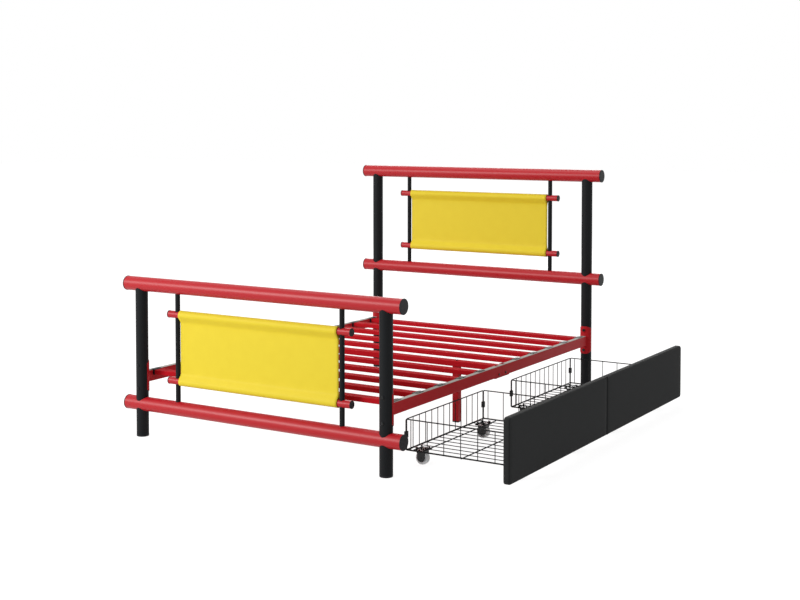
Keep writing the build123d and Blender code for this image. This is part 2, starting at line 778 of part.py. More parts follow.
def caster_wheel():
    """Wheel with a rounded tread, a dished ring in each face and a bore for the axle."""
    half = wheel_width / 2
    solid = rod(wheel_diameter, (0, -half, axle_height), (0, half, axle_height))
    solid = fillet(solid.edges().filter_by(GeomType.CIRCLE), wheel_edge_round)
    start, stop = (0, half - wheel_dish_depth, axle_height), (0, half + 1, axle_height)
    dish = rod(wheel_dish_outer_diameter, start, stop) - rod(wheel_dish_inner_diameter, start, stop)
    bore = axle_diameter + 2 * axle_running_clearance
    axle_room = rod(bore, (0, -wheel_width, axle_height), (0, wheel_width, axle_height))
    return solid - [dish, mirrored(dish, 1, -1), axle_room]


def write_drawers():
    groups = {
        "front_board": [front_board()],
        "front_cover": [front_cover()],
        "basket_long_walls": basket_long_walls(),
        "basket_short_walls": basket_short_walls(),
        "basket_floor": [basket_floor()],
        "basket_clips": basket_clips(),
        "caster_frames": caster_frames(),
    }
    wheel = caster_wheel()
    for number, (x, y) in enumerate(caster_places(), start=1):
        groups[f"wheel_{number}"] = [Pos(x, y, 0) * wheel]
    fronts = ("front_board", "front_cover")
    for drawer, end in (("drawer_1", -1), ("drawer_2", 1)):
        for name, pieces in groups.items():
            placed = [mirrored(piece, 1, end) for piece in pieces] if name in fronts else pieces
            write(f"{drawer}_{name}", *[Pos(0, end * drawer_middle, 0) * piece for piece in placed])


os.makedirs("parts", exist_ok=True)
write_boards()
write_platform()
write_drawers()
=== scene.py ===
import math

import bmesh
import bpy
from mathutils import Matrix, Vector, noise


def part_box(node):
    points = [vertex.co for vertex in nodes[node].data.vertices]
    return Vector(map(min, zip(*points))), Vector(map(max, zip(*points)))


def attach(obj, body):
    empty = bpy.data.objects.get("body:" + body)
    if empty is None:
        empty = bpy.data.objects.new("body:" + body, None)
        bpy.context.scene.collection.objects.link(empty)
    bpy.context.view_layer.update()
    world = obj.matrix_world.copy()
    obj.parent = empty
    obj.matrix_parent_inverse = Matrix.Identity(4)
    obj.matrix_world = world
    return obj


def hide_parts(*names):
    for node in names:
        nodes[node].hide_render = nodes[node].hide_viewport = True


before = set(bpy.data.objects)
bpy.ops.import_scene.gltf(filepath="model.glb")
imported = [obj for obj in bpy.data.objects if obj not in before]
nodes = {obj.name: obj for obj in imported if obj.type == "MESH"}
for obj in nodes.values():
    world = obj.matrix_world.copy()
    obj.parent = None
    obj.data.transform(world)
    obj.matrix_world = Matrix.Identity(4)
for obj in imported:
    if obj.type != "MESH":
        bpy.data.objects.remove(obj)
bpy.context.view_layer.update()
MM = 0.001

# Red steelwork of the boards: the thick rails and the slim tubes that carry the fabric. Mild-steel tube,
# sprayed with polyester powder and baked, which leaves an even colour, some gloss and a faint orange peel
# that blurs what it reflects.
RED = "#b8141f"
RED_OTHER_BATCH = "#b1121d"
RED_ROUGHNESS = (0.38, 0.44)
RED_REFLECTION = 0.35
ORANGE_PEEL = 2.5 * MM
ORANGE_PEEL_DEPTH = 0.08 * MM
ORANGE_PEEL_STRENGTH = 0.25
BATCH_DRIFT = 400 * MM


def linear(colour):
    """The linear colour that a shader takes, from an sRGB hex value."""
    channels = [int(colour[place : place + 2], 16) / 255 for place in (1, 3, 5)]
    return [c / 12.92 if c <= 0.04045 else ((c + 0.055) / 1.055) ** 2.4 for c in channels] + [1.0]


def new_finish(name):
    """An empty material, named for its finish, and its node tree."""
    finish = bpy.data.materials.new(name)
    finish.use_nodes = True
    finish.node_tree.nodes.clear()
    return finish, finish.node_tree


def add(tree, kind, sockets=None, **settings):
    """Adds a shader node. Settings are its properties; sockets give an input a value or an output to read."""
    made = tree.nodes.new(kind)
    for name, value in settings.items():
        setattr(made, name, value)
    for name, value in (sockets or {}).items():
        if isinstance(value, bpy.types.NodeSocket):
            tree.links.new(value, made.inputs[name])
        else:
            made.inputs[name].default_value = value
    return made


def powder_coat(name, colour, other_batch, roughness, reflection):
    """Baked powder: two near shades that drift over the length of a tube, under a fine orange peel.
    The real peel is about 1 mm from crest to crest and is drawn coarser, so that it shows."""
    finish, tree = new_finish(name)
    place = add(tree, "ShaderNodeTexCoord").outputs["Object"]
    drift = add(tree, "ShaderNodeTexNoise", {"Vector": place, "Scale": 1 / BATCH_DRIFT, "Detail": 2.0})
    tint = add(
        tree,
        "ShaderNodeMix",
        {0: drift.outputs["Fac"], 6: linear(colour), 7: linear(other_batch)},
        data_type="RGBA",
    )
    peel = add(tree, "ShaderNodeTexNoise", {"Vector": place, "Scale": 1 / ORANGE_PEEL, "Detail": 1.0})
    sheen = add(
        tree,
        "ShaderNodeMapRange",
        {"Value": peel.outputs["Fac"], "To Min": roughness[0], "To Max": roughness[1]},
    )
    relief = add(
        tree,
        "ShaderNodeBump",
        {"Height": peel.outputs["Fac"], "Strength": ORANGE_PEEL_STRENGTH, "Distance": ORANGE_PEEL_DEPTH},
    )
    coat = add(
        tree,
        "ShaderNodeBsdfPrincipled",
        {
            "Base Color": tint.outputs[2],
            "Roughness": sheen.outputs["Result"],
            "Specular IOR Level": reflection,
            "Normal": relief.outputs["Normal"],
        },
    )
    add(tree, "ShaderNodeOutputMaterial", {"Surface": coat.outputs["BSDF"]})
    return finish


def dress(finish, *names):
    """Gives CAD nodes a finish."""
    for name in names:
        nodes[name].material_slots[0].material = finish


red_powder = powder_coat(
    "red polyester powder coat", RED, RED_OTHER_BATCH, RED_ROUGHNESS, RED_REFLECTION
)
for board in ("headboard", "footboard"):
    dress(red_powder, f"{board}_top_rail", f"{board}_lower_rail", f"{board}_sling_tubes")

# Slats and centre crossbar: steel tube in the same red, but in a matt powder, so that what lies on it
# doesn't slide. It shows no glare on the slats' tops where they are seen almost edge on.
SLAT_COUNT = 10
MATT_ROUGHNESS = (0.76, 0.84)
MATT_REFLECTION = 0.08

matt_red_powder = powder_coat(
    "matt red polyester powder coat", RED, RED_OTHER_BATCH, MATT_ROUGHNESS, MATT_REFLECTION
)
dress(matt_red_powder, *[f"slat_{number:02d}" for number in range(1, SLAT_COUNT + 1)])
dress(matt_red_powder, "centre_crossbar")

# Side rails, middle legs, corner brackets and splice channels: steel tube and pressed plate in the same red,
# in a satin powder between the boards' gloss and the slats' matt.
SATIN_ROUGHNESS = (0.50, 0.56)
SATIN_REFLECTION = 0.2

satin_red_powder = powder_coat(
    "satin red polyester powder coat", RED, RED_OTHER_BATCH, SATIN_ROUGHNESS, SATIN_REFLECTION
)
for side in ("left", "right"):
    dress(satin_red_powder, f"{side}_side_rail_foot_half", f"{side}_side_rail_head_half")
dress(satin_red_powder, "centre_support_legs", "corner_brackets", "rail_splice_channels")

# Black steelwork: the four posts and the spindles that the slim tubes hang on. The same tube and the same
# powder in a soft black that reflects a pale room as a grey band.
BLACK = "#16181a"
BLACK_OTHER_BATCH = "#131517"
BLACK_ROUGHNESS = (0.52, 0.58)
BLACK_REFLECTION = 0.12

black_powder = powder_coat(
    "black polyester powder coat", BLACK, BLACK_OTHER_BATCH, BLACK_ROUGHNESS, BLACK_REFLECTION
)
for board in ("headboard", "footboard"):
    dress(black_powder, f"{board}_left_post", f"{board}_right_post", f"{board}_spindles")

# Caps, glides and clips: injection-moulded polyethylene and nylon, plugged or hooked on by hand. The
# moulds are spark-eroded, which gives the black plastic a fine dull grain.
MOULDED_BLACK = "#141518"
MOULDED_BLACK_RUBBED = "#1a1b1f"
SPARK_GRAIN = 0.8 * MM
SPARK_GRAIN_DEPTH = 0.06 * MM
HANDLING_PATCH = 18 * MM
MOULDED_ROUGHNESS = (0.46, 0.60)

moulded_black, tree = new_finish("black polyethylene, spark-grained")
place = add(tree, "ShaderNodeTexCoord").outputs["Object"]
grain = add(tree, "ShaderNodeTexNoise", {"Vector": place, "Scale": 1 / SPARK_GRAIN, "Detail": 2.0})
handling = add(tree, "ShaderNodeTexNoise", {"Vector": place, "Scale": 1 / HANDLING_PATCH, "Detail": 3.0})
shade = add(
    tree,
    "ShaderNodeMix",
    {0: handling.outputs["Fac"], 6: linear(MOULDED_BLACK), 7: linear(MOULDED_BLACK_RUBBED)},
    data_type="RGBA",
)
relief = add(
    tree,
    "ShaderNodeBump",
    {"Height": grain.outputs["Fac"], "Strength": 0.5, "Distance": SPARK_GRAIN_DEPTH},
)
dullness = add(
    tree,
    "ShaderNodeMapRange",
    {"Value": handling.outputs["Fac"], "To Min": MOULDED_ROUGHNESS[0], "To Max": MOULDED_ROUGHNESS[1]},
)
plastic = add(
    tree,
    "ShaderNodeBsdfPrincipled",
    {
        "Base Color": shade.outputs[2],
        "Roughness": dullness.outputs["Result"],
        "Specular IOR Level": 0.2,
        "Normal": relief.outputs["Normal"],
    },
)
add(tree, "ShaderNodeOutputMaterial", {"Surface": plastic.outputs["BSDF"]})
dress(moulded_black, "rail_end_caps", "sling_tube_caps", "foot_glides", "slat_end_clips")

# Tapes on the tops of the side rails: thin pale felt tape, so that nothing rattles on the steel. Its
# fibres lie every way, which scatters light evenly and shows as a soft mottle close by.
TAPE = "#a8a29b"
TAPE_DARK_FIBRE = "#938d88"
FELT_FIBRE = 2 * MM
FELT_NAP_DEPTH = 0.3 * MM

felt_tape, tree = new_finish("pale felt tape")
place = add(tree, "ShaderNodeTexCoord").outputs["Object"]
fibres = add(
    tree,
    "ShaderNodeTexNoise",
    {"Vector": place, "Scale": 1 / FELT_FIBRE, "Detail": 5.0, "Roughness": 0.65, "Distortion": 1.5},
)
shade = add(
    tree,
    "ShaderNodeMix",
    {0: fibres.outputs["Fac"], 6: linear(TAPE), 7: linear(TAPE_DARK_FIBRE)},
    data_type="RGBA",
)
nap = add(
    tree, "ShaderNodeBump", {"Height": fibres.outputs["Fac"], "Strength": 0.6, "Distance": FELT_NAP_DEPTH}
)
felt = add(
    tree,
    "ShaderNodeBsdfPrincipled",
    {
        "Base Color": shade.outputs[2],
        "Roughness": 0.9,
        "Sheen Weight": 0.2,
        "Normal": nap.outputs["Normal"],
    },
)
add(tree, "ShaderNodeOutputMaterial", {"Surface": felt.outputs["BSDF"]})
dress(felt_tape, "rail_top_tapes")

# Bolts, screws and nuts: black-oxidised steel, turned and rolled. The oxide is a thin dark film, so they
# still shine a little where a driver or a spanner has been.
OXIDE = "#17181a"
OXIDE_RUBBED = "#3a3b3d"
OXIDE_PATCH = 4 * MM
RUBBED_FROM = 0.5
RUBBED_BARE = 0.75

black_oxide, tree = new_finish("black-oxidised steel")
place = add(tree, "ShaderNodeTexCoord").outputs["Object"]
film = add(tree, "ShaderNodeTexNoise", {"Vector": place, "Scale": 1 / OXIDE_PATCH, "Detail": 4.0})
rubbed = add(
    tree,
    "ShaderNodeMapRange",
    {"Value": film.outputs["Fac"], "From Min": RUBBED_FROM, "From Max": RUBBED_BARE},
)
shade = add(
    tree,
    "ShaderNodeMix",
    {0: rubbed.outputs["Result"], 6: linear(OXIDE), 7: linear(OXIDE_RUBBED)},
    data_type="RGBA",
)
steel = add(
    tree,
    "ShaderNodeBsdfPrincipled",
    {"Base Color": shade.outputs[2], "Metallic": 0.6, "Roughness": 0.38},
)
add(tree, "ShaderNodeOutputMaterial", {"Surface": steel.outputs["BSDF"]})
dress(black_oxide, "frame_bolts")

# Fabric panels of both boards: one length of coated polyester canvas each, hemmed at its sides, turned
# over the upper and the lower slim tube and sewn to itself as a pocket, which pulls it flat and taut.
CANVAS_THICKNESS = 1.8 * MM
CANVAS_CLEARANCE = 1.8 * MM
CANVAS_DRAWN_THICKNESS = 1.5 * CANVAS_THICKNESS
SINGLE_PLY_SHARE = 0.67
BACK_PLY_OFFSET = 1.2 * CANVAS_THICKNESS
SEAM_FROM_TUBE = 32 * MM
SEAM_BEND = 7 * MM
SEAM_ALLOWANCE = 9 * MM
SIDE_HEM = 12 * MM
TUBE_STEPS = 18
BEND_STEPS = 4
FLAT_ROWS = 10
PANEL_COLUMNS = 60
PUCKER = 0.7 * MM
PUCKER_LENGTH = 34 * MM
PUCKER_START = 3.7
NEARLY = 0.1 * MM
THREAD_SPACING = 1.2 * MM
WEAVE_DEPTH = 0.15 * MM
SLUB_LENGTH = 60 * MM
YELLOW = "#e8d12e"
YELLOW_THREAD_SHADE = "#e2c927"

canvas, tree = new_finish("yellow coated canvas")
threads = add(tree, "ShaderNodeUVMap", uv_map="cloth").outputs["UV"]
weave_waves = [
    add(
        tree,
        "ShaderNodeTexWave",
        {"Vector": threads, "Scale": math.pi / 10 / THREAD_SPACING, "Distortion": 0.3, "Detail": 1.0},
        bands_direction=direction,
    )
    for direction in ("X", "Y")
]
weave = add(
    tree,
    "ShaderNodeMath",
    {0: weave_waves[0].outputs["Fac"], 1: weave_waves[1].outputs["Fac"]},
    operation="MULTIPLY",
)
slubs = add(tree, "ShaderNodeTexNoise", {"Vector": threads, "Scale": 1 / SLUB_LENGTH, "Detail": 4.0})
shade = add(
    tree,
    "ShaderNodeMix",
    {0: slubs.outputs["Fac"], 6: linear(YELLOW), 7: linear(YELLOW_THREAD_SHADE)},
    data_type="RGBA",
)
relief = add(
    tree, "ShaderNodeBump", {"Height": weave.outputs["Value"], "Strength": 0.35, "Distance": WEAVE_DEPTH}
)
cloth = add(
    tree,
    "ShaderNodeBsdfPrincipled",
    {
        "Base Color": shade.outputs[2],
        "Roughness": 0.6,
        "Specular IOR Level": 0.3,
        "Sheen Weight": 0.05,
        "Sheen Roughness": 0.5,
        "Normal": relief.outputs["Normal"],
    },
)
add(tree, "ShaderNodeOutputMaterial", {"Surface": cloth.outputs["BSDF"]})


def draw_to(mesh, last, point):
    """Runs an outline on from its last vertex to a point, and returns the new last vertex."""
    new = bmesh.ops.extrude_vert_indiv(mesh, verts=[last])["verts"][0]
    new.co = point
    return new


def cut_across(mesh, axis, place):
    """Cuts every face that crosses a plane square to an axis."""
    across = Vector((0, 0, 0))
    across[axis] = 1
    bmesh.ops.bisect_plane(
        mesh,
        geom=mesh.verts[:] + mesh.edges[:] + mesh.faces[:],
        plane_co=across * place,
        plane_no=across,
    )


def finished(mesh, name, finish, body):
    """Turns a bmesh into a piece with its finish that rides on a body."""
    data = bpy.data.meshes.new(name)
    mesh.to_mesh(data)
    mesh.free()
    data.materials.append(finish)
    data.polygons.foreach_set("use_smooth", [True] * len(data.polygons))
    piece = bpy.data.objects.new(name, data)
    bpy.context.scene.collection.objects.link(piece)
    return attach(piece, body)


def sling(board):
    """The cloth's box, the tubes' radius, their place along Y, and how high the middle between them is."""
    low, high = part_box(f"{board}_fabric_panel")
    tubes_low, tubes_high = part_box(f"{board}_sling_tubes")
    tube_radius = (tubes_high.y - tubes_low.y) / 2
    y = (tubes_low.y + tubes_high.y) / 2
    middle = (tubes_low.z + tubes_high.z) / 2
    tube_z = tubes_high.z - tube_radius - middle
    return low, high, tube_radius, y, middle, tube_z


def pucker(x, from_seam):
    """How far the thread's pull puckers the cloth forwards, most at the pocket seams."""
    spot = Vector((x / PUCKER_LENGTH, 0.5 * from_seam / PUCKER_LENGTH, PUCKER_START))
    return PUCKER * noise.noise(spot) * math.exp(-abs(from_seam) / SEAM_FROM_TUBE)


def fabric_panel(board):
    """The cloth is drawn from its middle up, round the upper tube and back to the seam, then mirrored down.
    The pull of two fixed tubes leaves it no fall of its own, so it is drawn and not simulated."""
    low, high, tube_radius, y, middle, tube_z = sling(board)
    wrap = tube_radius + CANVAS_CLEARANCE + CANVAS_THICKNESS / 2
    seam_z = tube_z - SEAM_FROM_TUBE
    tangent = math.acos(wrap / SEAM_FROM_TUBE)
    mesh = bmesh.new()
    along = mesh.verts.layers.float.new("along")
    first = mesh.verts.new((low.x, y, 0.0))
    seam = draw_to(mesh, first, (low.x, y, seam_z))
    front = (low.x, y - wrap * math.sin(tangent), tube_z - wrap * math.cos(tangent))
    last = draw_to(mesh, seam, front)
    bmesh.ops.spin(
        mesh,
        geom=[last],
        cent=(low.x, y, tube_z),
        axis=(-1, 0, 0),
        angle=2 * (math.pi - tangent),
        steps=TUBE_STEPS,
        use_duplicate=False,
    )
    last = min((v for v in mesh.verts if v.co.y > y + NEARLY), key=lambda v: v.co.z)
    last = draw_to(mesh, last, (low.x, y + BACK_PLY_OFFSET, seam_z))
    draw_to(mesh, last, (low.x, y + BACK_PLY_OFFSET, seam_z - SEAM_ALLOWANCE))
    bmesh.ops.bevel(
        mesh, geom=[seam], offset=SEAM_BEND, segments=BEND_STEPS, profile=0.5, affect="VERTICES"
    )
    long_edges = [e for e in mesh.edges if e.calc_length() > 2 * SEAM_FROM_TUBE]
    bmesh.ops.subdivide_edges(mesh, edges=long_edges, cuts=FLAT_ROWS)

    # Each vertex is told how far along the cloth it lies, which gives the weave its map and the cut length
    vertex = min(mesh.verts, key=lambda v: abs(v.co.z) + abs(v.co.y - y))
    edge, done = vertex.link_edges[0], 0.0
    while True:
        other = edge.other_vert(vertex)
        done += edge.calc_length()
        other[along] = done
        onward = [e for e in other.link_edges if e != edge]
        if not onward:
            break
        vertex, edge = other, onward[0]
    cut_length = 2 * done
    bmesh.ops.mirror(mesh, geom=mesh.verts[:] + mesh.edges[:], merge_dist=0.1 * NEARLY, axis="Z")

    # The outline is drawn out to the cloth's width and cut at the hems
    width = high.x - low.x
    grown = bmesh.ops.extrude_edge_only(mesh, edges=mesh.edges[:])["geom"]
    far_side = [v for v in grown if isinstance(v, bmesh.types.BMVert)]
    bmesh.ops.translate(mesh, verts=far_side, vec=(width, 0, 0))
    crosswise = [e for e in mesh.edges if abs(e.verts[0].co.x - e.verts[1].co.x) > width / 2]
    bmesh.ops.subdivide_edges(mesh, edges=crosswise, cuts=PANEL_COLUMNS - 1)
    for edge_x in (low.x + SIDE_HEM, high.x - SIDE_HEM):
        cut_across(mesh, 0, edge_x)
    bmesh.ops.recalc_face_normals(mesh, faces=mesh.faces[:])
    cloth_map = mesh.loops.layers.uv.new("cloth")
    for face in mesh.faces:
        for corner in face.loops:
            corner[cloth_map].uv = (corner.vert.co.x, corner.vert[along])
    for v in mesh.verts:
        if abs(v.co.y - y) < 3 * NEARLY and abs(v.co.z) < seam_z + NEARLY:
            v.co.y -= pucker(v.co.x, seam_z - abs(v.co.z))
    bmesh.ops.translate(mesh, verts=mesh.verts[:], vec=(0, 0, middle))
    panel = finished(mesh, f"{board}_canvas", canvas, "bed_frame")

    # The folded hems are thicker than the single cloth between them
    hem = panel.vertex_groups.new(name="hem")
    for v in panel.data.vertices:
        at_side = min(v.co.x - low.x, high.x - v.co.x) < SIDE_HEM - NEARLY
        hem.add([v.index], 1.0 if at_side else SINGLE_PLY_SHARE, "REPLACE")
    thickness = panel.modifiers.new("thickness", "SOLIDIFY")
    thickness.thickness = CANVAS_DRAWN_THICKNESS
    thickness.offset = 0.0
    thickness.vertex_group = "hem"
    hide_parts(f"{board}_fabric_panel")
    return panel, cut_length, width


# Stitches of the fabric panels: bonded polyester thread in single lockstitch along both pocket seams and
# both side hems. Each stitch is a short rounded bead on the cloth's face, and rides with the cloth.
STITCH_PITCH = 5 * MM
STITCH_LENGTH = 3.6 * MM
STITCH_THREAD = 0.7 * MM
STITCH_BACK_DEPTH = 1.8 * CANVAS_THICKNESS
SEAM_STITCH_INSET = 2.5 * MM
HEM_STITCH_INSET = 2 * MM
HEM_STITCH_START = 3 * MM
THREAD = "#e8c32a"

thread_finish, tree = new_finish("yellow bonded polyester thread")
thread = add(
    tree,
    "ShaderNodeBsdfPrincipled",
    {"Base Color": linear(THREAD), "Roughness": 0.5, "Sheen Weight": 0.2},
)
add(tree, "ShaderNodeOutputMaterial", {"Surface": thread.outputs["BSDF"]})


def bead(mesh, place, size):
    """A stitch or a staple: a small rounded body as long, deep and high as its size."""
    shape = Matrix.Translation(place) @ Matrix.Diagonal((*size, 1.0))
    bmesh.ops.create_icosphere(mesh, subdivisions=1, radius=0.5, matrix=shape)


def lock_stitches(board):
    """Two pocket seams and two side hems, seen on both faces of the cloth."""
    low, high, tube_radius, y, middle, tube_z = sling(board)
    reach = tube_z - SEAM_FROM_TUBE
    mesh = bmesh.new()

    def stitch(x, z, size):
        for way in (-1, 1):
            depth = CANVAS_THICKNESS / 2 if way < 0 else STITCH_BACK_DEPTH
            bead(mesh, (x, y + way * depth - pucker(x, reach - abs(z - middle)), z), size)

    seam_z = reach - SEAM_STITCH_INSET
    for number in range(int((high.x - low.x) / STITCH_PITCH)):
        x = low.x + (number + 0.5) * STITCH_PITCH
        for z in (middle - seam_z, middle + seam_z):
            stitch(x, z, (STITCH_LENGTH, STITCH_THREAD, STITCH_THREAD))
    for number in range(int(2 * (seam_z - HEM_STITCH_INSET) / STITCH_PITCH)):
        z = middle - seam_z + HEM_STITCH_START + (number + 0.5) * STITCH_PITCH
        for x in (low.x + SIDE_HEM - HEM_STITCH_INSET, high.x - SIDE_HEM + HEM_STITCH_INSET):
            stitch(x, z, (STITCH_THREAD, STITCH_THREAD, STITCH_LENGTH))
    return finished(mesh, f"{board}_stitches", thread_finish, "bed_frame")


for board in ("headboard", "footboard"):
    panel, cut_length, width = fabric_panel(board)
    stitches = lock_stitches(board)

# Front boards of the drawers: bare medium-density fibreboard, sawn to shape. Its ground wood fibres show
# as a fine even speckle in a flat tan face.
FIBREBOARD = "#9c7b55"
FIBREBOARD_DARK = "#7d5f3f"
WOOD_FIBRE = 1.5 * MM

fibreboard, tree = new_finish("bare fibreboard")
place = add(tree, "ShaderNodeTexCoord").outputs["Object"]
fibres = add(
    tree,
    "ShaderNodeTexNoise",
    {"Vector": place, "Scale": 1 / WOOD_FIBRE, "Detail": 6.0, "Roughness": 0.7},
)
shade = add(
    tree,
    "ShaderNodeMix",
    {0: fibres.outputs["Fac"], 6: linear(FIBREBOARD), 7: linear(FIBREBOARD_DARK)},
    data_type="RGBA",
)
board_face = add(tree, "ShaderNodeBsdfPrincipled", {"Base Color": shade.outputs[2], "Roughness": 0.8})
add(tree, "ShaderNodeOutputMaterial", {"Surface": board_face.outputs["BSDF"]})
for drawer in ("drawer_1", "drawer_2"):
    dress(fibreboard, f"{drawer}_front_board")

# Drawer fronts: thin foam over the fibreboard, covered with a plain charcoal upholstery cloth that is
# drawn round the edges and stapled behind. The cloth is a tight matt weave that fills out at the rim.
COVER_CROWN = 1.4 * MM
COVER_GIVE = 0.25 * MM
COVER_GIVE_LENGTH = 90 * MM
COVER_FILL = 22 * MM
COVER_EDGE = 7 * MM
COVER_CORNER = 16 * MM
COVER_INNER_CORNER = 1.5 * MM
CORNER_STEPS = 6
EDGE_STEPS = 5
COVER_GRID = (0.03, 0.06, 0.1, 0.16, 0.24, 0.33, 0.42)
FLAP_WIDTH = 24 * MM
FLAP_FACE = FLAP_WIDTH / 4
FLAP_THICKNESS = 0.9 * MM
FLAP_OUTER_SLOPE = 0.5 * MM
FLAP_INNER_SLOPE = 0.3 * MM
YARN_SPACING = 2.4 * MM
YARN_DEPTH = 0.25 * MM
MELANGE_PATCH = 6 * MM
CHARCOAL = "#202122"
CHARCOAL_YARN = "#282929"

charcoal_cloth, tree = new_finish("charcoal upholstery weave")
place = add(tree, "ShaderNodeTexCoord").outputs["Object"]
yarn_waves = [
    add(
        tree,
        "ShaderNodeTexWave",
        {"Vector": place, "Scale": math.pi / 10 / YARN_SPACING, "Distortion": 0.8, "Detail": 2.0},
        bands_direction=direction,
    )
    for direction in ("Y", "Z")
]
yarns = add(
    tree,
    "ShaderNodeMath",
    {0: yarn_waves[0].outputs["Fac"], 1: yarn_waves[1].outputs["Fac"]},
    operation="MULTIPLY",
)
melange = add(tree, "ShaderNodeTexNoise", {"Vector": place, "Scale": 1 / MELANGE_PATCH, "Detail": 5.0})
shade = add(
    tree,
    "ShaderNodeMix",
    {0: melange.outputs["Fac"], 6: linear(CHARCOAL), 7: linear(CHARCOAL_YARN)},
    data_type="RGBA",
)
relief = add(
    tree, "ShaderNodeBump", {"Height": yarns.outputs["Value"], "Strength": 0.4, "Distance": YARN_DEPTH}
)
cloth = add(
    tree,
    "ShaderNodeBsdfPrincipled",
    {
        "Base Color": shade.outputs[2],
        "Roughness": 0.8,
        "Specular IOR Level": 0.12,
        "Sheen Weight": 0.03,
        "Sheen Roughness": 0.6,
        "Normal": relief.outputs["Normal"],
    },
)
add(tree, "ShaderNodeOutputMaterial", {"Surface": cloth.outputs["BSDF"]})


def round_edges(mesh, edges, radius, steps):
    """Rounds edges with an arc."""
    bmesh.ops.bevel(
        mesh, geom=edges, offset=radius, segments=steps, profile=0.5, affect="EDGES", material=-1
    )


def drawer_front_cover(drawer, outer_end):
    """The two fronts meet with square ends. Their corners are rounded only at the bed's ends."""
    low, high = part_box(f"{drawer}_front_cover")
    size = high - low
    outer_y = high.y if outer_end > 0 else low.y
    mesh = bmesh.new()
    block = Matrix.Translation((low + high) / 2) @ Matrix.Diagonal((*size, 1.0))
    bmesh.ops.create_cube(mesh, size=1.0, matrix=block)

    def is_corner(edge, outer):
        runs_along_x = abs(edge.verts[0].co.x - edge.verts[1].co.x) > size.x / 2
        return runs_along_x and (abs(edge.verts[0].co.y - outer_y) < MM) == outer

    for outer, radius in ((True, COVER_CORNER), (False, COVER_INNER_CORNER)):
        corners = [e for e in mesh.edges if is_corner(e, outer)]
        round_edges(mesh, corners[:2], radius, CORNER_STEPS)
    mesh.normal_update()

    # The cloth is turned in behind as a raised flap round the open back
    back = min(mesh.faces, key=lambda f: f.calc_center_median().x)
    bmesh.ops.inset_region(mesh, faces=[back], thickness=FLAP_OUTER_SLOPE, depth=FLAP_THICKNESS)
    bmesh.ops.inset_region(mesh, faces=[back], thickness=FLAP_FACE, depth=0.0)
    bmesh.ops.inset_region(mesh, faces=[back], thickness=FLAP_INNER_SLOPE, depth=-FLAP_THICKNESS)
    bmesh.ops.delete(mesh, geom=[back], context="FACES_ONLY")
    front = max(mesh.faces, key=lambda f: f.calc_center_median().x)
    round_edges(mesh, front.edges[:], COVER_EDGE, EDGE_STEPS)

    # The face is cut into a grid that is finer at the rim, where the foam fills out the cloth
    for axis in (1, 2):
        for step in COVER_GRID:
            for place in (low[axis] + step * size[axis], high[axis] - step * size[axis]):
                cut_across(mesh, axis, place)
    for v in mesh.verts:
        if v.co.x > high.x - COVER_EDGE:
            rims = [min(v.co[axis] - low[axis], high[axis] - v.co[axis]) for axis in (1, 2)]
            fullness = math.prod(1 - math.exp(-max(rim, 0) / COVER_FILL) for rim in rims)
            give = COVER_GIVE * noise.noise(v.co / COVER_GIVE_LENGTH)
            v.co.x += fullness * (COVER_CROWN + give)
    cover = finished(mesh, f"{drawer}_upholstery", charcoal_cloth, drawer)
    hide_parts(f"{drawer}_front_cover")


for drawer, outer_end in (("drawer_1", -1), ("drawer_2", 1)):
    drawer_front_cover(drawer, outer_end)

# Staples behind each front: galvanised wire staples, shot every few centimetres through the turned-in
# cloth into the board.
STAPLE_PITCH = 42 * MM
STAPLE_CROWN = 11 * MM
STAPLE_WIRE = 0.9 * MM
ZINC = "#a9abad"

zinc_wire, tree = new_finish("galvanised staple wire")
wire = add(
    tree,
    "ShaderNodeBsdfPrincipled",
    {"Base Color": linear(ZINC), "Metallic": 1.0, "Roughness": 0.35},
)
add(tree, "ShaderNodeOutputMaterial", {"Surface": wire.outputs["BSDF"]})


def staples(drawer):
    """Four rows, one along each edge of the back. The crown of each staple lies along its row."""
    low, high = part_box(f"{drawer}_front_cover")
    mesh = bmesh.new()
    x = low.x - FLAP_THICKNESS - STAPLE_WIRE / 3
    inset = FLAP_WIDTH / 2
    clear = 2 * COVER_CORNER

    def row(start, stop, level, along_y):
        count = int((stop - start) / STAPLE_PITCH)
        for number in range(count + 1):
            place = start + (stop - start) * number / count
            if along_y:
                bead(mesh, (x, place, level), (STAPLE_WIRE, STAPLE_CROWN, STAPLE_WIRE))
            else:
                bead(mesh, (x, level, place), (STAPLE_WIRE, STAPLE_WIRE, STAPLE_CROWN))

    for level in (low.z + inset, high.z - inset):
        row(low.y + clear, high.y - clear, level, True)
    for level in (low.y + inset, high.y - inset):
        row(low.z + clear, high.z - clear, level, False)
    finished(mesh, f"{drawer}_staples", zinc_wire, drawer)


for drawer in ("drawer_1", "drawer_2"):
    staples(drawer)

# Baskets: hard-drawn steel wire, resistance-welded into flat panels and powder-coated black. The coat
# rounds every crossing and has a low gloss. Their clips are moulded like the caps.
WIRE_BLACK = "#111213"
WIRE_BLACK_OTHER_BATCH = "#0f1011"

wire_powder = powder_coat(
    "black powder coat on wire", WIRE_BLACK, WIRE_BLACK_OTHER_BATCH, BLACK_ROUGHNESS, BLACK_REFLECTION
)
for drawer in ("drawer_1", "drawer_2"):
    dress(
        wire_powder,
        f"{drawer}_basket_long_walls",
        f"{drawer}_basket_short_walls",
        f"{drawer}_basket_floor",
    )
    dress(moulded_black, f"{drawer}_basket_clips")

# Castor frames: injection-moulded ABS from a polished mould, held to the basket's floor wires by four
# headed pegs each. The bright black face mirrors the red rails above it.
GLOSS_BLACK = "#141416"
FLOW_PATCH = 25 * MM
GLOSS_ROUGHNESS = (0.12, 0.2)

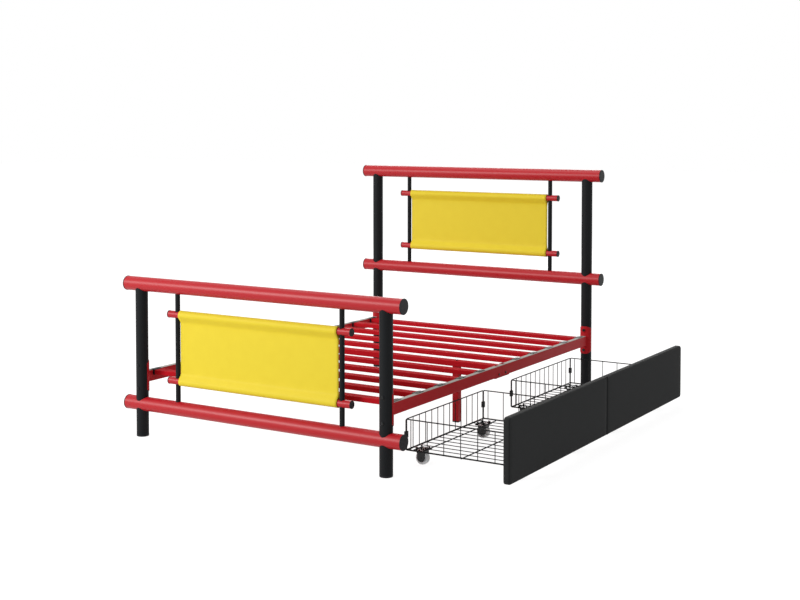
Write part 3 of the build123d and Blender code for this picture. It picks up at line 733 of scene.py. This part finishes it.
gloss_black, tree = new_finish("glossy black ABS")
place = add(tree, "ShaderNodeTexCoord").outputs["Object"]
flow = add(tree, "ShaderNodeTexNoise", {"Vector": place, "Scale": 1 / FLOW_PATCH, "Detail": 2.0})
polish = add(
    tree,
    "ShaderNodeMapRange",
    {"Value": flow.outputs["Fac"], "To Min": GLOSS_ROUGHNESS[0], "To Max": GLOSS_ROUGHNESS[1]},
)
plastic = add(
    tree,
    "ShaderNodeBsdfPrincipled",
    {
        "Base Color": linear(GLOSS_BLACK),
        "Roughness": polish.outputs["Result"],
        "Specular IOR Level": 0.3,
    },
)
add(tree, "ShaderNodeOutputMaterial", {"Surface": plastic.outputs["BSDF"]})
for drawer in ("drawer_1", "drawer_2"):
    dress(gloss_black, f"{drawer}_caster_frames")

# Castor wheels: natural polypropylene, moulded thick, which lets light through as milky glass does and
# dulls where it rolls.
MILKY = "#eef0f2"
SCUFF_PATCH = 9 * MM
SCUFFED_ROUGHNESS = (0.22, 0.4)
POLYPROPYLENE_IOR = 1.49
WHEELS_PER_DRAWER = 4

milky_wheel, tree = new_finish("natural polypropylene")
place = add(tree, "ShaderNodeTexCoord").outputs["Object"]
scuffs = add(tree, "ShaderNodeTexNoise", {"Vector": place, "Scale": 1 / SCUFF_PATCH, "Detail": 3.0})
dullness = add(
    tree,
    "ShaderNodeMapRange",
    {"Value": scuffs.outputs["Fac"], "To Min": SCUFFED_ROUGHNESS[0], "To Max": SCUFFED_ROUGHNESS[1]},
)
plastic = add(
    tree,
    "ShaderNodeBsdfPrincipled",
    {
        "Base Color": linear(MILKY),
        "Roughness": dullness.outputs["Result"],
        "IOR": POLYPROPYLENE_IOR,
        "Transmission Weight": 0.3,
    },
)
add(tree, "ShaderNodeOutputMaterial", {"Surface": plastic.outputs["BSDF"]})
for drawer in ("drawer_1", "drawer_2"):
    dress(milky_wheel, *[f"{drawer}_wheel_{number}" for number in range(1, WHEELS_PER_DRAWER + 1)])

# Studio floor: a pale sheet under the bed. Seen rays find it almost white with a soft shadow, and all other
# light bounces off it as off plain grey paint.
FLOOR_SIZE = 60.0
FLOOR_DROP = 0.3 * MM
FLOOR = "#dcdcdc"
FLOOR_SHADOW_SHARE = 0.35
FLOOR_GLOW = 0.86
WHITE = [1.0] * 4


def seen_ray(tree):
    """1 for the rays that show a thing: those of the camera, of a mirror image and through clear plastic."""
    path = add(tree, "ShaderNodeLightPath").outputs
    seen = add(
        tree, "ShaderNodeMath", {0: path["Is Camera Ray"], 1: path["Is Glossy Ray"]}, operation="MAXIMUM"
    )
    seen = add(
        tree,
        "ShaderNodeMath",
        {0: seen.outputs["Value"], 1: path["Is Transmission Ray"]},
        operation="MAXIMUM",
    )
    return seen.outputs["Value"]


pale_floor, tree = new_finish("pale studio floor")
paint = add(tree, "ShaderNodeBsdfDiffuse", {"Color": linear(FLOOR)})
lit = add(tree, "ShaderNodeBsdfDiffuse", {"Color": [FLOOR_SHADOW_SHARE] * 3 + [1.0]})
glow = add(tree, "ShaderNodeEmission", {"Color": WHITE, "Strength": FLOOR_GLOW})
white = add(tree, "ShaderNodeAddShader", {0: lit.outputs["BSDF"], 1: glow.outputs["Emission"]})
surface = add(
    tree,
    "ShaderNodeMixShader",
    {0: seen_ray(tree), 1: paint.outputs["BSDF"], 2: white.outputs["Shader"]},
)
add(tree, "ShaderNodeOutputMaterial", {"Surface": surface.outputs["Shader"]})
ground = bmesh.new()
below = Matrix.Translation((0, 0, -FLOOR_DROP))
bmesh.ops.create_grid(ground, x_segments=1, y_segments=1, size=FLOOR_SIZE / 2, matrix=below)
floor_data = bpy.data.meshes.new("floor")
ground.to_mesh(floor_data)
ground.free()
floor_data.materials.append(pale_floor)
floor = bpy.data.objects.new("floor", floor_data)
bpy.context.scene.collection.objects.link(floor)

# Studio room: white wherever it is seen, and dimmer as a source of light, so that the lamps shape the
# steel.
ROOM_LEVEL = 0.52
SEEN_ROOM_LEVEL = 1.0

world = bpy.data.worlds.new("white room")
world.use_nodes = True
world.node_tree.nodes.clear()
tree = world.node_tree
room = add(tree, "ShaderNodeBackground", {"Color": WHITE, "Strength": ROOM_LEVEL})
backdrop = add(tree, "ShaderNodeBackground", {"Color": WHITE, "Strength": SEEN_ROOM_LEVEL})
mixed = add(
    tree,
    "ShaderNodeMixShader",
    {0: seen_ray(tree), 1: room.outputs["Background"], 2: backdrop.outputs["Background"]},
)
add(tree, "ShaderNodeOutputWorld", {"Surface": mixed.outputs["Shader"]})
bpy.context.scene.world = world


# Lamps: large soft squares. The key stands off the foot of the bed to its left, one hangs overhead, and a
# weak one fills in behind the headboard.
def soft_lamp(name, place, target, size, watts):
    """A square area lamp at a place in metres, turned to a target."""
    data = bpy.data.lights.new(name, "AREA")
    data.shape = "SQUARE"
    data.size = size
    data.energy = watts
    lamp = bpy.data.objects.new(name, data)
    lamp.location = place
    lamp.rotation_euler = (Vector(target) - Vector(place)).to_track_quat("-Z", "Y").to_euler()
    bpy.context.scene.collection.objects.link(lamp)


crossbar_low, crossbar_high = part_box("centre_crossbar")
bed_middle = (crossbar_low.x + crossbar_high.x) / 2
soft_lamp("key lamp", (bed_middle - 4.3, -6.6, 3.3), (bed_middle, 0, 0.5), 2.6, 400)
soft_lamp("top lamp", (bed_middle - 1.0, 0.5, 5.5), (bed_middle, 0, 0.3), 3.0, 60)
soft_lamp("fill lamp", (bed_middle - 3.0, 7.0, 3.0), (bed_middle, 0, 0.6), 4.0, 150)

# Camera: at the photograph's place, off the right-hand foot corner and just above the headboard, looking
# almost level. The shift puts the bed where the photograph has it.
camera_data = bpy.data.cameras.new("camera")
camera_data.sensor_width = 36.0
camera_data.lens = 59.09
camera_data.shift_x = 0.0061
camera_data.shift_y = -0.1529
camera_data.clip_end = 200.0
camera = bpy.data.objects.new("camera", camera_data)
camera.location = (bed_middle + 3.4359, -5.4081, 1.4302)
camera.rotation_euler = (math.radians(87.5), 0.0, math.radians(31.827))
bpy.context.scene.collection.objects.link(camera)
bpy.context.scene.camera = camera
bpy.context.scene.view_settings.view_transform = "Standard"
